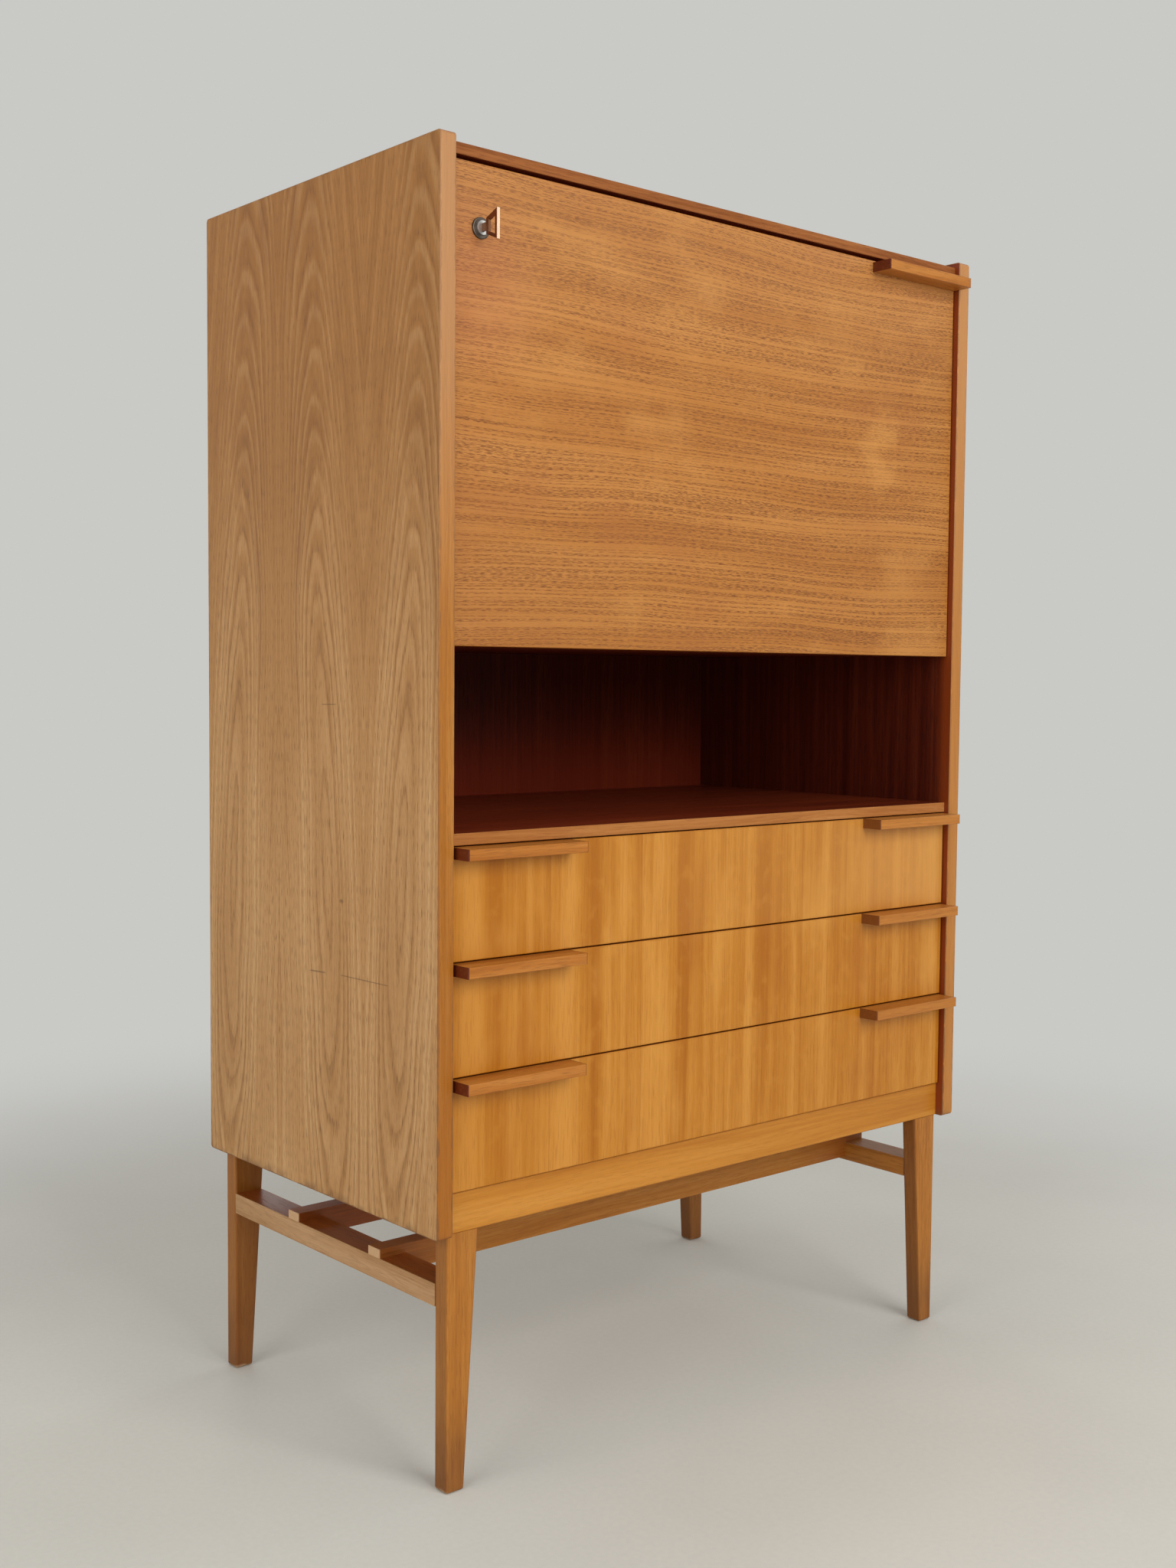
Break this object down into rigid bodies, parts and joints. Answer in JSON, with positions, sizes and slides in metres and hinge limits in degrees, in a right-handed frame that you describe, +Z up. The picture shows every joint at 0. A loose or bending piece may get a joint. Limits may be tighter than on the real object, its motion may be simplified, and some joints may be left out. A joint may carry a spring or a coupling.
{
  "type": "escritoire",
  "caption": "Tall fall-front writing cabinet on a slatted leg frame, with a locking flap, an open niche and drawers below.",
  "frame": {"origin": "on the floor under the middle of the bounding box", "axes": "+Z up, front towards -Y, +X to the right seen from the front"},
  "size_m": [0.77, 0.45, 1.27],
  "materials": {
    "case_veneer": "satin",
    "flap_veneer": "satin",
    "drawer_veneer": "satin",
    "inside_veneer": "satin",
    "plain_board": "matt",
    "drawer_timber": "matt",
    "solid_timber": "satin",
    "bronze": "dark",
    "nickel": "brushed",
    "brass": "polished"
  },
  "bodies": {
    "carcass": {"back_panel": "plain_board", "bottom_board": "plain_board", "compartment_shelf": "inside_veneer", "desk_floor": "inside_veneer", "front_apron": "solid_timber", "front_cross_rail": "solid_timber", "front_left_leg": "solid_timber", "front_right_leg": "solid_timber", "hinge_plates": "brass", "left_divider": "inside_veneer", "left_runners": "drawer_timber", "left_side_panel": "case_veneer", "left_stay_base": "brass", "left_stretcher": "solid_timber", "niche_shelf": "inside_veneer", "rear_cross_rail": "solid_timber", "rear_left_leg": "solid_timber", "rear_rail": "solid_timber", "rear_right_leg": "solid_timber", "right_divider": "inside_veneer", "right_runners": "drawer_timber", "right_side_panel": "case_veneer", "right_stay_base": "brass", "right_stretcher": "solid_timber", "strike_plate": "nickel", "top_board": "case_veneer"},
    "flap": {"flap_board": "flap_veneer", "flap_handle": "solid_timber", "lock_case": "nickel", "lock_rosette": "bronze", "lock_barrel": "nickel", "hinge_bushes": "brass", "left_stay_bracket": "brass", "right_stay_bracket": "brass"},
    "key": {"key": "bronze", "lock_plug": "nickel"},
    "lock_bolt": {"lock_bolt": "nickel"},
    "drawer_1": {"drawer_1_back": "drawer_timber", "drawer_1_bottom": "plain_board", "drawer_1_front": "drawer_veneer", "drawer_1_handles": "solid_timber", "drawer_1_left_side": "drawer_timber", "drawer_1_right_side": "drawer_timber"},
    "drawer_2": {"drawer_2_back": "drawer_timber", "drawer_2_bottom": "plain_board", "drawer_2_front": "drawer_veneer", "drawer_2_handles": "solid_timber", "drawer_2_left_side": "drawer_timber", "drawer_2_right_side": "drawer_timber"},
    "drawer_3": {"drawer_3_back": "drawer_timber", "drawer_3_bottom": "plain_board", "drawer_3_front": "drawer_veneer", "drawer_3_handles": "solid_timber", "drawer_3_left_side": "drawer_timber", "drawer_3_right_side": "drawer_timber"},
    "left_stay_guide": {"left_stay_guide": "brass"},
    "left_stay_rod": {"left_stay_rod": "brass"},
    "right_stay_guide": {"right_stay_guide": "brass"},
    "right_stay_rod": {"right_stay_rod": "brass"}
  },
  "joints": [
    {"name": "flap_hinge", "type": "hinge", "parent": "carcass", "child": "flap", "pos_m": [0, -0.189, 0.8165], "axis": [1, 0, 0], "range_deg": [0, 90]},
    {"name": "key_turn", "type": "hinge", "parent": "flap", "child": "key", "pos_m": [-0.3343, -0.198, 1.191], "axis": [0, -1, 0], "range_deg": [0, 90]},
    {"name": "bolt_slide", "type": "slide", "parent": "flap", "child": "lock_bolt", "axis": [-1, 0, 0], "range_m": [0, 0.008]},
    {"name": "left_rod_swing", "type": "hinge", "parent": "flap", "child": "left_stay_rod", "pos_m": [-0.351, -0.168, 0.99631], "axis": [1, 0, 0], "range_deg": [-45, 0]},
    {"name": "left_guide_swivel", "type": "hinge", "parent": "carcass", "child": "left_stay_guide", "pos_m": [-0.351, -0.09849, 0.97328], "axis": [1, 0, 0], "range_deg": [0, 45]},
    {"name": "right_rod_swing", "type": "hinge", "parent": "flap", "child": "right_stay_rod", "pos_m": [0.351, -0.168, 0.99631], "axis": [1, 0, 0], "range_deg": [-45, 0]},
    {"name": "right_guide_swivel", "type": "hinge", "parent": "carcass", "child": "right_stay_guide", "pos_m": [0.351, -0.09849, 0.97328], "axis": [1, 0, 0], "range_deg": [0, 45]},
    {"name": "drawer_1_slide", "type": "slide", "parent": "carcass", "child": "drawer_1", "axis": [0, -1, 0], "range_m": [0, 0.28]},
    {"name": "drawer_2_slide", "type": "slide", "parent": "carcass", "child": "drawer_2", "axis": [0, -1, 0], "range_m": [0, 0.28]},
    {"name": "drawer_3_slide", "type": "slide", "parent": "carcass", "child": "drawer_3", "axis": [0, -1, 0], "range_m": [0, 0.28]}
  ],
  "couplings": [
    {"joint": "bolt_slide", "follows": "key_turn", "m_per_rad": 0.00509},
    {"joint": "left_rod_swing", "follows": "flap_hinge", "ratio": -0.5},
    {"joint": "left_guide_swivel", "follows": "flap_hinge", "ratio": 0.5},
    {"joint": "right_rod_swing", "follows": "flap_hinge", "ratio": -0.5},
    {"joint": "right_guide_swivel", "follows": "flap_hinge", "ratio": 0.5}
  ]
}
